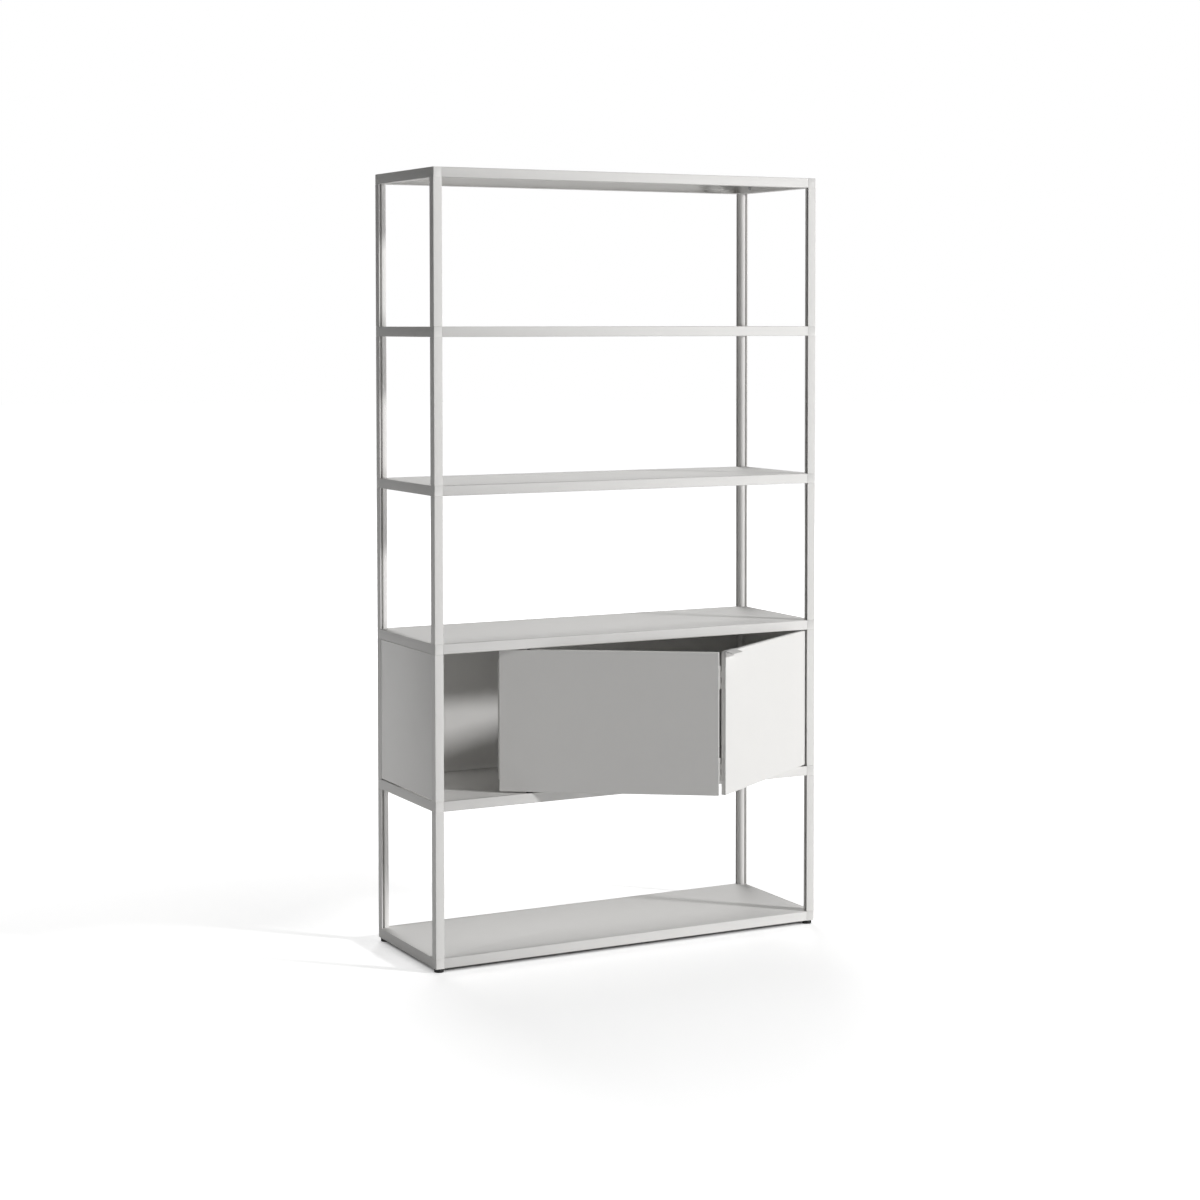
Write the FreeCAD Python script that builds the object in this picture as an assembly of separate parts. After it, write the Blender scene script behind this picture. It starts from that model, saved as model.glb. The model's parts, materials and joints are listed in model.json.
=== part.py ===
import FreeCAD, Part
import math
import os
from FreeCAD import Vector

# Free-standing metal shelving unit: six tiers on grooved posts, with one bay
# closed by side and back panels and a two-leaf folding door that stands part open.
# Millimetres. X runs to the right, Y to the back, Z up. The origin is on the floor
# at the centre of the four levelling feet.

# Overall size
WIDTH = 1000.0
DEPTH = 340.0
TIER_COUNT = 6
BAY_PITCH = 355.0
BAND = 23.0
FLOOR_GAP = 9.0

# Posts
POST = 21.0
POST_OUTER_CHAMFER = 1.2
POST_INNER_RADIUS = 4.0
GROOVE_LIP = 3.0
GROOVE_WIDTH = 3.5
GROOVE_DEPTH = 6.5

# Square spigots between posts and rails
SPIGOT_SIDE = 6.0
SPIGOT_CLEARANCE = 0.1
SPIGOT_REACH = 20.0

# Side rails
RAIL_LIP = 3.0
RAIL_CAP = 4.0

# Shelf trays
SHEET = 1.5
TRAY_SEAM = 0.2
TRAY_RETURN = 20.0
BEND_RADIUS = 2.0

# Hexagon-head tray screws; shanks and holes have six flats too, to keep the repeats light
SCREW_FLATS = 5.0
SCREW_HEAD_FLATS = 8.0
SCREW_HEAD_HEIGHT = 3.5
SCREW_REACH = 10.0
SCREW_HOLE_SPARE = 1.0
SCREW_CLEARANCE = 0.1
SCREW_SPACING = 200.0

# Wall fixing holes in the back band of one tray, the second from the top
WALL_FIXING_TIER = 4
WALL_HOLE_RADIUS = 3.25
WALL_HOLE_SPACING = 700.0

# Levelling feet
FOOT_RADIUS = 11.0
FOOT_INSET = 12.5
FOOT_CLEARANCE = 0.4
STEM_RADIUS = 3.95
STEM_CLEARANCE = 0.08
INSERT_FLATS = 11.0
INSERT_HEIGHT = 10.0

# Cabinet bay, counted from the floor
CABINET_BAY = 1
PANEL_SETBACK = 0.8
PANEL_SIDE_GAP = 0.4
PANEL_TOP_GAP = 1.0
SIDE_PANEL_BOTTOM_GAP = 2.5
BACK_PANEL_BOTTOM_GAP = 0.5
PANEL_TONGUE_REACH = 5.5
TONGUE_CLEARANCE = 0.2

# Door leaves, sized in the closed position
LEAF_DEPTH = 11.0
LEAF_SHEET = 1.2
LEAF_FACE_RADIUS = 1.0
LEAF_SETBACK = 1.0
LEAF_TOP_GAP = 3.0
LEAF_BOTTOM_GAP = 3.0
PIVOT_SIDE_GAP = 4.0
FAR_SIDE_GAP = 6.0
FOLD_GAP = 3.0
LEAF_RETURN = 8.0
STOP_LIP_REACH = 4.5
STOP_LIP_NOTCH = 25.0

# Door axes and travel
PIVOT_INSET = 8.0
PIVOT_DEPTH = 8.0
GUIDE_INSET = 68.0
FOLD_AXIS_DEPTH = 14.0
DOOR_OPEN = 34.0
DOOR_OPEN_LIMIT = 82.0

# Pivot pins and bushes
PIN_RADIUS = 2.5
PIN_CLEARANCE = 0.05
PIN_COLLAR_FLATS = 8.0
PIN_COLLAR_HEIGHT = 3.0
PIN_NECK_SIDE = 4.4
BUSH_FLATS = 9.0
BUSH_FLANGE_FLATS = 12.0
BUSH_TOP_FLANGE = 1.0
BUSH_REACH = 6.0
BUSH_SEAT_CLEARANCE = 0.05
BUSH_LEAF_CLEARANCE = 0.3

# Guide stud, glide and track
STUD_RADIUS = 4.0
STUD_CLEARANCE = 0.5
STUD_REACH = 8.0
GLIDE_RADIUS = 7.5
GLIDE_CLEARANCE = 0.3
TRACK_WALL = 1.5
TRACK_ROOF_GAP = 1.0

# Fold hinges
HINGE_LENGTH = 52.0
HINGE_END_INSET = 58.0
HINGE_PLATE = 1.2
HINGE_PLATE_START = 1.5
KNUCKLE_COUNT = 4
KNUCKLE_FLATS = 4.2
KNUCKLE_CLEARANCE = 0.3
KNUCKLE_GAP = 0.5
HINGE_PIN_RADIUS = 1.0
HINGE_PIN_END = 0.6

# Pull tab
TAB_LENGTH = 50.0
TAB_END_INSET = 1.5
TAB_SHEET = 2.0
TAB_SEAT = 9.0
TAB_REACH = 20.0
TAB_DROP_ANGLE = 16.0
TAB_CORNER_RADIUS = 4.0
TAB_NOSE = 2.0

# Places worked out from the sizes above
HALF_WIDTH = WIDTH / 2
HALF_DEPTH = DEPTH / 2
POST_FACE_X = HALF_WIDTH - POST
POST_FACE_Y = HALF_DEPTH - POST
BAY_HEIGHT = BAY_PITCH - BAND
SPIGOT_HOLE = SPIGOT_SIDE + 2 * SPIGOT_CLEARANCE
TRAY_END = POST_FACE_X - TRAY_SEAM
LEAF_FACE_Y = -HALF_DEPTH + LEAF_SETBACK
PIVOT_X = POST_FACE_X - PIVOT_SIDE_GAP - PIVOT_INSET
PIVOT_Y = LEAF_FACE_Y + PIVOT_DEPTH
FAR_EDGE_X = -POST_FACE_X + FAR_SIDE_GAP
GUIDE_X = FAR_EDGE_X + GUIDE_INSET
FOLD_X = (PIVOT_X + GUIDE_X) / 2
FOLD_Y = LEAF_FACE_Y + FOLD_AXIS_DEPTH
SLOT_HALF = STUD_RADIUS + STUD_CLEARANCE
SCREW_HOLE = SCREW_FLATS + 2 * SCREW_CLEARANCE

# Sides of the regular bars, and the length below which two points count as one
SQUARE = 4
HEXAGON = 6
OCTAGON = 8
SAME_POINT = 1e-7

CORNERS = [
    ("front_left", -1, -1),
    ("front_right", 1, -1),
    ("back_left", -1, 1),
    ("back_right", 1, 1),
]

KNUCKLE_CORNER = KNUCKLE_FLATS / 2 / math.cos(math.pi / OCTAGON)


def tier_bottom(tier):
    return FLOOR_GAP + tier * BAY_PITCH


def tier_top(tier):
    return tier_bottom(tier) + BAND


LEAF_BOTTOM = tier_top(CABINET_BAY) + LEAF_BOTTOM_GAP
LEAF_TOP = tier_bottom(CABINET_BAY + 1) - LEAF_TOP_GAP


def block(low, high):
    size = [b - a for a, b in zip(low, high)]
    return Part.makeBox(size[0], size[1], size[2], Vector(*low))


def rod(radius, x, y, z_low, z_high):
    return Part.makeCylinder(radius, z_high - z_low, Vector(x, y, z_low))


def facet_bar(sides, flats, start, travel):
    """Bar of regular section, flats wide from flat to flat, from start along travel."""
    corner_reach = flats / 2 / math.cos(math.pi / sides)
    angles = [math.pi * (2 * i + 1) / sides for i in range(sides)]
    ring = [Vector(corner_reach * math.cos(a), corner_reach * math.sin(a), 0) for a in angles]
    bar = Part.Face(Part.makePolygon(ring + [ring[0]])).extrude(Vector(0, 0, travel.Length))
    bar.Placement = FreeCAD.Placement(start, FreeCAD.Rotation(Vector(0, 0, 1), travel))
    return bar


def upright_bar(sides, flats, x, y, z_start, z_end):
    return facet_bar(sides, flats, Vector(x, y, z_start), Vector(0, 0, z_end - z_start))


def join(shapes):
    return shapes[0].multiFuse(shapes[1:]).removeSplitter()


def rounded_wire(corners):
    """Closed flat outline through (point, radius) corners, with an arc at each radius."""
    edges = []
    ends = []
    count = len(corners)
    for i, (point, radius) in enumerate(corners):
        before = (corners[i - 1][0] - point).normalize()
        after = (corners[(i + 1) % count][0] - point).normalize()
        if radius == 0:
            ends.append((point, None, point))
            continue
        half = before.getAngle(after) / 2
        reach = radius / math.tan(half)
        middle = (before + after).normalize()
        crown = point + middle * (radius / math.sin(half) - radius)
        ends.append((point + before * reach, crown, point + after * reach))
    for i, (start, crown, stop) in enumerate(ends):
        if crown is not None:
            edges.append(Part.Arc(start, crown, stop).toShape())
        following = ends[(i + 1) % count][0]
        if (following - stop).Length > SAME_POINT:
            edges.append(Part.LineSegment(stop, following).toShape())
    return Part.Wire(edges)


def prism(corners, travel):
    return Part.Face(rounded_wire(corners)).extrude(travel)


def corner_point(side_x, side_y, inward_x, inward_y, z=0.0):
    """Point measured inward from the outer vertical edge of one corner."""
    x = side_x * (HALF_WIDTH - inward_x)
    y = side_y * (HALF_DEPTH - inward_y)
    return Vector(x, y, z)


def post(side_x, side_y, bay):
    """Grooved post: panel grooves face both neighbouring posts, square bore in the middle."""
    groove_far = GROOVE_LIP + GROOVE_WIDTH
    groove_floor = POST - GROOVE_DEPTH
    section = [
        (0, POST_OUTER_CHAMFER, 0),
        (POST_OUTER_CHAMFER, 0, 0),
        (POST, 0, 0),
        (POST, GROOVE_LIP, 0),
        (groove_floor, GROOVE_LIP, 0),
        (groove_floor, groove_far, 0),
        (POST, groove_far, 0),
        (POST, POST, POST_INNER_RADIUS),
        (groove_far, POST, 0),
        (groove_far, groove_floor, 0),
        (GROOVE_LIP, groove_floor, 0),
        (GROOVE_LIP, POST, 0),
        (0, POST, 0),
    ]
    z = tier_top(bay)
    corners = [(corner_point(side_x, side_y, u, v, z), r) for u, v, r in section]
    middle = corner_point(side_x, side_y, POST / 2, POST / 2)
    bore = upright_bar(SQUARE, SPIGOT_HOLE, middle.x, middle.y, z - SHEET, z + BAY_HEIGHT + SHEET)
    return prism(corners, Vector(0, 0, BAY_HEIGHT)).cut(bore)


def screw_height(tier):
    return tier_bottom(tier) + BAND / 2


def screw_bar(flats, x, y, z, travel_x):
    """Hexagonal bar along X, for a screw's head or shank or the hole that it takes."""
    return facet_bar(HEXAGON, flats, Vector(x, y, z), Vector(travel_x, 0, 0))


def side_rail(side, tier):
    """Rail with chamfered outer corners, a rebate for the tray wing and holes for its fixings."""
    z = tier_bottom(tier)
    corner_x = HALF_WIDTH - POST_OUTER_CHAMFER
    corner_y = HALF_DEPTH - POST_OUTER_CHAMFER
    half = [(POST_FACE_X, HALF_DEPTH), (corner_x, HALF_DEPTH), (HALF_WIDTH, corner_y)]
    outline = half + [(x, -y) for x, y in reversed(half)]
    plan = [(Vector(side * x, y, z), 0) for x, y in outline]
    seat = z + BAND - SHEET
    rebate_x = sorted([side * (HALF_WIDTH - RAIL_LIP), side * (POST_FACE_X - SHEET)])
    cuts = [block((rebate_x[0], -POST_FACE_Y, seat), (rebate_x[1], POST_FACE_Y, seat + 2 * SHEET))]
    for _, side_x, side_y in CORNERS:
        if side_x != side:
            continue
        spigot = corner_point(side_x, side_y, POST / 2, POST / 2)
        low = z + INSERT_HEIGHT if tier == 0 else z - SHEET
        high = z + BAND - RAIL_CAP if tier == TIER_COUNT - 1 else z + BAND + SHEET
        cuts.append(upright_bar(SQUARE, SPIGOT_HOLE, spigot.x, spigot.y, low, high))
        if tier == 0:
            seat_foot = corner_point(side_x, side_y, FOOT_INSET, FOOT_INSET)
            seat_top = z + INSERT_HEIGHT + FOOT_CLEARANCE
            cuts.append(upright_bar(HEXAGON, INSERT_FLATS, seat_foot.x, seat_foot.y, z - SHEET, seat_top))
    for y in (-SCREW_SPACING / 2, SCREW_SPACING / 2):
        travel = side * (SCREW_REACH + SCREW_HOLE_SPARE)
        cuts.append(screw_bar(SCREW_HOLE, side * (TRAY_END - SHEET), y, screw_height(tier), travel))
    return prism(plan, Vector(0, 0, BAND)).cut(cuts)


def tray_body(tier):
    """Folded pan: top sheet, front and back bands with return lips, end plates and wings."""
    z = tier_bottom(tier)
    top = z + BAND
    y = HALF_DEPTH
    y_in = y - SHEET
    y_lip = y - TRAY_RETURN
    section = [
        (-y, z, BEND_RADIUS),
        (-y, top, BEND_RADIUS),
        (y, top, BEND_RADIUS),
        (y, z, BEND_RADIUS),
        (y_lip, z, 0),
        (y_lip, z + SHEET, 0),
        (y_in, z + SHEET, 0),
        (y_in, top - SHEET, 0),
        (-y_in, top - SHEET, 0),
        (-y_in, z + SHEET, 0),
        (-y_lip, z + SHEET, 0),
        (-y_lip, z, 0),
    ]
    corners = [(Vector(-TRAY_END, v, w), r) for v, w, r in section]
    pan = prism(corners, Vector(2 * TRAY_END, 0, 0))
    wing_x = HALF_WIDTH - RAIL_LIP - TRAY_SEAM
    wing_y = POST_FACE_Y - TRAY_SEAM
    wings = block((-wing_x, -wing_y, top - SHEET), (wing_x, wing_y, top))
    pieces = [pan, wings]
    for side in (-1, 1):
        ends = sorted([side * TRAY_END, side * (TRAY_END - SHEET)])
        pieces.append(block((ends[0], -y_in, z + SHEET), (ends[1], y_in, top - SHEET)))
    body = join(pieces)
    holes = []
    for side in (-1, 1):
        for screw_y in (-SCREW_SPACING / 2, SCREW_SPACING / 2):
            start_x = side * (TRAY_END - 2 * SHEET)
            holes.append(screw_bar(SCREW_HOLE, start_x, screw_y, screw_height(tier), side * 3 * SHEET))
    return body.cut(holes)


def channel(x_low, x_high, y, half, z_low, z_high):
    """Straight run that clears a stud of radius half, from x_low to x_high."""
    return block((x_low - half, y - half, z_low), (x_high + half, y + half, z_high))


def guide_travel():
    """Guide stud places along the track, with the door closed and fully open."""
    arm = math.hypot(PIVOT_X - FOLD_X, PIVOT_Y - FOLD_Y)
    lean = math.degrees(math.atan2(FOLD_Y - PIVOT_Y, PIVOT_X - FOLD_X))
    open_x = PIVOT_X - 2 * arm * math.cos(math.radians(DOOR_OPEN_LIMIT - lean))
    return GUIDE_X, open_x


def bush_seat(z_low, z_high):
    return upright_bar(HEXAGON, BUSH_FLATS + 2 * BUSH_SEAT_CLEARANCE, PIVOT_X, PIVOT_Y, z_low, z_high)


def shelf_tray(tier):
    tray = tray_body(tier)
    z = tier_bottom(tier)
    if tier == CABINET_BAY + 1:
        closed_x, open_x = guide_travel()
        slot = channel(closed_x, open_x, PIVOT_Y, SLOT_HALF, z - SHEET, z + 2 * SHEET)
        tray = tray.cut([slot, bush_seat(z - SHEET, z + 2 * SHEET)])
    if tier == CABINET_BAY:
        tray = tray.cut(bush_seat(z + BAND - 2 * SHEET, z + BAND + SHEET))
    if tier == WALL_FIXING_TIER:
        for side in (-1, 1):
            start = Vector(side * WALL_HOLE_SPACING / 2, HALF_DEPTH - 2 * SHEET, z + BAND / 2)
            tray = tray.cut(Part.makeCylinder(WALL_HOLE_RADIUS, 3 * SHEET, start, Vector(0, 1, 0)))
    return tray


def post_spigots():
    """Square bars through the rails into the posts, one at each corner of each tier."""
    bars = []
    for tier in range(TIER_COUNT):
        z = tier_bottom(tier)
        low = z + INSERT_HEIGHT + FOOT_CLEARANCE if tier == 0 else z - SPIGOT_REACH
        high = z + BAND + SPIGOT_REACH
        if tier == TIER_COUNT - 1:
            high = z + BAND - RAIL_CAP - SPIGOT_CLEARANCE
        for _, side_x, side_y in CORNERS:
            middle = corner_point(side_x, side_y, POST / 2, POST / 2)
            bars.append(upright_bar(SQUARE, SPIGOT_SIDE, middle.x, middle.y, low, high))
    return Part.makeCompound(bars)


def screw(side, y, z):
    """Screw driven outwards from inside the tray, with its head on the tray's end plate."""
    seat = side * (TRAY_END - SHEET)
    head = screw_bar(SCREW_HEAD_FLATS, seat, y, z, -side * SCREW_HEAD_HEIGHT)
    return head.fuse(screw_bar(SCREW_FLATS, seat, y, z, side * SCREW_REACH))


def tray_screws():
    screws = []
    for tier in range(TIER_COUNT):
        for side in (-1, 1):
            for y in (-SCREW_SPACING / 2, SCREW_SPACING / 2):
                screws.append(screw(side, y, screw_height(tier)))
    return Part.makeCompound(screws)


def foot(side_x, side_y):
    """Levelling foot: round pad under a stem that turns in its insert."""
    middle = corner_point(side_x, side_y, FOOT_INSET, FOOT_INSET)
    pad_top = FLOOR_GAP - FOOT_CLEARANCE
    pad = rod(FOOT_RADIUS, middle.x, middle.y, 0, pad_top)
    return pad.fuse(rod(STEM_RADIUS, middle.x, middle.y, pad_top, FLOOR_GAP + INSERT_HEIGHT))


def foot_inserts():
    """Hexagonal nuts set in the bottom walls of the lowest rails."""
    inserts = []
    for _, side_x, side_y in CORNERS:
        middle = corner_point(side_x, side_y, FOOT_INSET, FOOT_INSET)
        top = FLOOR_GAP + INSERT_HEIGHT
        bore = rod(STEM_RADIUS + STEM_CLEARANCE, middle.x, middle.y, 0, top + INSERT_HEIGHT)
        inserts.append(upright_bar(HEXAGON, INSERT_FLATS, middle.x, middle.y, FLOOR_GAP, top).cut(bore))
    return Part.makeCompound(inserts)


def panel_section(half_span):
    """Half outline of a panel, as (along, inward) points, with a tongue at its end."""
    face = half_span - PANEL_SIDE_GAP
    tongue = half_span + PANEL_TONGUE_REACH
    tongue_low = GROOVE_LIP + TONGUE_CLEARANCE
    tongue_high = GROOVE_LIP + GROOVE_WIDTH - TONGUE_CLEARANCE
    return [
        (face, PANEL_SETBACK),
        (face, tongue_low),
        (tongue, tongue_low),
        (tongue, tongue_high),
    ]


def panel_travel(bottom_gap):
    low = tier_top(CABINET_BAY) + bottom_gap
    high = tier_bottom(CABINET_BAY + 1) - PANEL_TOP_GAP
    return low, Vector(0, 0, high - low)


def side_panel(side):
    low, travel = panel_travel(SIDE_PANEL_BOTTOM_GAP)
    half = panel_section(POST_FACE_Y)
    outline = half + [(-along, inward) for along, inward in reversed(half)]
    corners = [(Vector(side * (HALF_WIDTH - inward), along, low), 0) for along, inward in outline]
    return prism(corners, travel)


def back_panel():
    low, travel = panel_travel(BACK_PANEL_BOTTOM_GAP)
    half = panel_section(POST_FACE_X)
    outline = half + [(-along, inward) for along, inward in reversed(half)]
    corners = [(Vector(along, HALF_DEPTH - inward, low), 0) for along, inward in outline]
    return prism(corners, travel)


def swing_right(shape):
    """Carry a closed right-leaf shape to the pose the door stands in."""
    shape.rotate(Vector(PIVOT_X, PIVOT_Y, 0), Vector(0, 0, 1), DOOR_OPEN)
    return shape


def swing_left(shape):
    """Carry a closed left-leaf shape to the pose the door stands in."""
    shape.rotate(Vector(FOLD_X, FOLD_Y, 0), Vector(0, 0, 1), -2 * DOOR_OPEN)
    return swing_right(shape)


def leaf_pan(x_low, x_high):
    """Door leaf in the closed position: face sheet bent back into four flanges, open behind."""
    back = LEAF_FACE_Y + LEAF_DEPTH
    plan = [
        (Vector(x_low, back, LEAF_BOTTOM), 0),
        (Vector(x_low, LEAF_FACE_Y, LEAF_BOTTOM), LEAF_FACE_RADIUS),
        (Vector(x_high, LEAF_FACE_Y, LEAF_BOTTOM), LEAF_FACE_RADIUS),
        (Vector(x_high, back, LEAF_BOTTOM), 0),
    ]
    profile = [
        (Vector(x_low, back, LEAF_BOTTOM), 0),
        (Vector(x_low, LEAF_FACE_Y, LEAF_BOTTOM), LEAF_FACE_RADIUS),
        (Vector(x_low, LEAF_FACE_Y, LEAF_TOP), LEAF_FACE_RADIUS),
        (Vector(x_low, back, LEAF_TOP), 0),
    ]
    slab = prism(plan, Vector(0, 0, LEAF_TOP - LEAF_BOTTOM))
    slab = slab.common(prism(profile, Vector(x_high - x_low, 0, 0)))
    pocket = block(
        (x_low + LEAF_SHEET, LEAF_FACE_Y + LEAF_SHEET, LEAF_BOTTOM + LEAF_SHEET),
        (x_high - LEAF_SHEET, back + LEAF_SHEET, LEAF_TOP - LEAF_SHEET),
    )
    return slab.cut(pocket)


def return_lip(x_edge, reach):
    """Stiffening return at the back of a side flange, from the edge by a signed reach."""
    back = LEAF_FACE_Y + LEAF_DEPTH
    xs = sorted([x_edge, x_edge + reach])
    return block((xs[0], back - LEAF_SHEET, LEAF_BOTTOM), (xs[1], back, LEAF_TOP))


def neck_holes(x):
    side = PIN_NECK_SIDE + 2 * PIN_CLEARANCE
    return upright_bar(SQUARE, side, x, PIVOT_Y, LEAF_BOTTOM - LEAF_SHEET, LEAF_TOP + LEAF_SHEET)


def door_leaf_right():
    x_low = FOLD_X + FOLD_GAP / 2
    x_high = PIVOT_X + PIVOT_INSET
    leaf = join([leaf_pan(x_low, x_high), return_lip(x_low, LEAF_RETURN)])
    return swing_right(leaf.cut(neck_holes(PIVOT_X)))


def door_leaf_left():
    x_high = FOLD_X - FOLD_GAP / 2
    leaf = join([
        leaf_pan(FAR_EDGE_X, x_high),
        return_lip(x_high, -LEAF_RETURN),
        return_lip(FAR_EDGE_X + LEAF_SHEET, -STOP_LIP_REACH - LEAF_SHEET),
    ])
    notches = []
    for z in (LEAF_BOTTOM, LEAF_TOP - STOP_LIP_NOTCH):
        notches.append(block(
            (FAR_EDGE_X - 2 * STOP_LIP_REACH, LEAF_FACE_Y + 2 * LEAF_SHEET, z),
            (FAR_EDGE_X + LEAF_SHEET, LEAF_FACE_Y + 2 * LEAF_DEPTH, z + STOP_LIP_NOTCH),
        ))
    return swing_left(leaf.cut(notches + [neck_holes(GUIDE_X)]))


def collared_neck(x, leaf_edge, up):
    """Square neck through a leaf's top (up 1) or bottom (up -1) flange, with its inner collar."""
    inner_face = leaf_edge - up * LEAF_SHEET
    collar_end = inner_face - up * PIN_COLLAR_HEIGHT
    return [
        upright_bar(HEXAGON, PIN_COLLAR_FLATS, x, PIVOT_Y, inner_face, collar_end),
        upright_bar(SQUARE, PIN_NECK_SIDE, x, PIVOT_Y, inner_face, leaf_edge),
    ]


def pivot_pin(leaf_edge, up):
    """Pin fixed in a leaf flange, across the gap and into the bush in the tray."""
    gap = LEAF_TOP_GAP if up > 0 else LEAF_BOTTOM_GAP
    ends = sorted([leaf_edge, leaf_edge + up * (gap + BUSH_REACH)])
    pin = rod(PIN_RADIUS, PIVOT_X, PIVOT_Y, ends[0], ends[1])
    return join([pin] + collared_neck(PIVOT_X, leaf_edge, up))


def door_pivot_pins():
    return swing_right(Part.makeCompound([pivot_pin(LEAF_TOP, 1), pivot_pin(LEAF_BOTTOM, -1)]))


def flanged_bush(face, up, flange):
    """Hexagonal bush, keyed in its tray: the flange stands on the tray's face, the sleeve runs in."""
    bore = rod(PIN_RADIUS + PIN_CLEARANCE, PIVOT_X, PIVOT_Y, face - 2 * BUSH_REACH, face + 2 * BUSH_REACH)
    sleeve = upright_bar(HEXAGON, BUSH_FLATS, PIVOT_X, PIVOT_Y, face, face + up * BUSH_REACH)
    rim = upright_bar(HEXAGON, BUSH_FLANGE_FLATS, PIVOT_X, PIVOT_Y, face, face - up * flange)
    return join([sleeve, rim]).cut(bore)


def pivot_bushes():
    top = flanged_bush(tier_bottom(CABINET_BAY + 1), 1, BUSH_TOP_FLANGE)
    bottom = flanged_bush(tier_top(CABINET_BAY), -1, LEAF_BOTTOM_GAP - BUSH_LEAF_CLEARANCE)
    return Part.makeCompound([top, bottom])


def door_guides():
    """Top stud that runs in the track, and bottom glide that rides over the tray."""
    sole = tier_top(CABINET_BAY) + GLIDE_CLEARANCE
    stud = join(collared_neck(GUIDE_X, LEAF_TOP, 1) + [
        rod(STUD_RADIUS, GUIDE_X, PIVOT_Y, LEAF_TOP, LEAF_TOP + LEAF_TOP_GAP + STUD_REACH),
    ])
    glide = join(collared_neck(GUIDE_X, LEAF_BOTTOM, -1) + [
        rod(GLIDE_RADIUS, GUIDE_X, PIVOT_Y, sole, LEAF_BOTTOM),
    ])
    return swing_left(Part.makeCompound([stud, glide]))


def door_track():
    """Downward-open channel over the slot in the tray above the door."""
    closed_x, open_x = guide_travel()
    seat = tier_bottom(CABINET_BAY + 1) + SHEET
    roof = tier_bottom(CABINET_BAY + 1) + STUD_REACH + TRACK_ROOF_GAP
    outer = channel(closed_x, open_x, PIVOT_Y, SLOT_HALF + TRACK_WALL, seat, roof + TRACK_WALL)
    inner = channel(closed_x, open_x, PIVOT_Y, SLOT_HALF, seat - TRACK_WALL, roof)
    return outer.cut(inner)


def hinge_heights():
    return [LEAF_BOTTOM + HINGE_END_INSET, LEAF_TOP - HINGE_END_INSET]


def knuckle_spans(middle, first):
    """Height ranges of every other knuckle of a hinge, counted upwards from the first."""
    pitch = (HINGE_LENGTH + KNUCKLE_GAP) / KNUCKLE_COUNT
    lows = [middle - HINGE_LENGTH / 2 + i * pitch for i in range(first, KNUCKLE_COUNT, 2)]
    return [(low, low + pitch - KNUCKLE_GAP) for low in lows]


def hinge_plate(side, first, middle):
    """Plate on the fold flange of one leaf, with its eight-sided knuckles on the fold axis."""
    x_seat = FOLD_X + side * FOLD_GAP / 2
    xs = sorted([x_seat, x_seat - side * HINGE_PLATE])
    y_start = LEAF_FACE_Y + HINGE_PLATE_START
    y_clear = FOLD_Y - KNUCKLE_CORNER - KNUCKLE_CLEARANCE
    low = middle - HINGE_LENGTH / 2
    high = middle + HINGE_LENGTH / 2
    pieces = [block((xs[0], y_start, low), (xs[1], y_clear, high))]
    bores = []
    for z_low, z_high in knuckle_spans(middle, first):
        pieces.append(block((xs[0], y_start, z_low), (xs[1], FOLD_Y, z_high)))
        pieces.append(upright_bar(OCTAGON, KNUCKLE_FLATS, FOLD_X, FOLD_Y, z_low, z_high))
        bores.append(rod(HINGE_PIN_RADIUS + PIN_CLEARANCE, FOLD_X, FOLD_Y, z_low, z_high))
    return join(pieces).cut(bores)


def fold_hinge_right():
    return swing_right(Part.makeCompound([hinge_plate(1, 0, z) for z in hinge_heights()]))


def fold_hinge_left():
    return swing_left(Part.makeCompound([hinge_plate(-1, 1, z) for z in hinge_heights()]))


def fold_hinge_pins():
    pins = []
    for middle in hinge_heights():
        half = HINGE_LENGTH / 2 + HINGE_PIN_END
        pins.append(rod(HINGE_PIN_RADIUS, FOLD_X, FOLD_Y, middle - half, middle + half))
    return swing_right(Part.makeCompound(pins))


def pull_tab():
    """Bent strip seated on the right leaf's top flange, sloping down over the leaf's face."""
    slope = math.radians(TAB_DROP_ANGLE)
    run = TAB_REACH * math.cos(slope)
    drop = TAB_REACH * math.sin(slope)
    seat_y = LEAF_FACE_Y + TAB_SEAT
    nose_y = LEAF_FACE_Y - run
    thick = TAB_SHEET
    x = FOLD_X + FOLD_GAP / 2 + TAB_END_INSET
    section = [
        (seat_y, LEAF_TOP, 0),
        (seat_y, LEAF_TOP + thick, 0),
        (LEAF_FACE_Y, LEAF_TOP + thick, TAB_NOSE),
        (nose_y, LEAF_TOP + thick - drop, 0),
        (nose_y, LEAF_TOP - drop, 0),
        (LEAF_FACE_Y, LEAF_TOP, TAB_NOSE),
    ]
    strip = prism([(Vector(x, v, w), r) for v, w, r in section], Vector(TAB_LENGTH, 0, 0))
    plan = [
        (Vector(x, seat_y, LEAF_TOP - 2 * drop), 0),
        (Vector(x, nose_y, LEAF_TOP - 2 * drop), TAB_CORNER_RADIUS),
        (Vector(x + TAB_LENGTH, nose_y, LEAF_TOP - 2 * drop), TAB_CORNER_RADIUS),
        (Vector(x + TAB_LENGTH, seat_y, LEAF_TOP - 2 * drop), 0),
    ]
    return swing_right(strip.common(prism(plan, Vector(0, 0, 4 * drop))))


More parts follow.
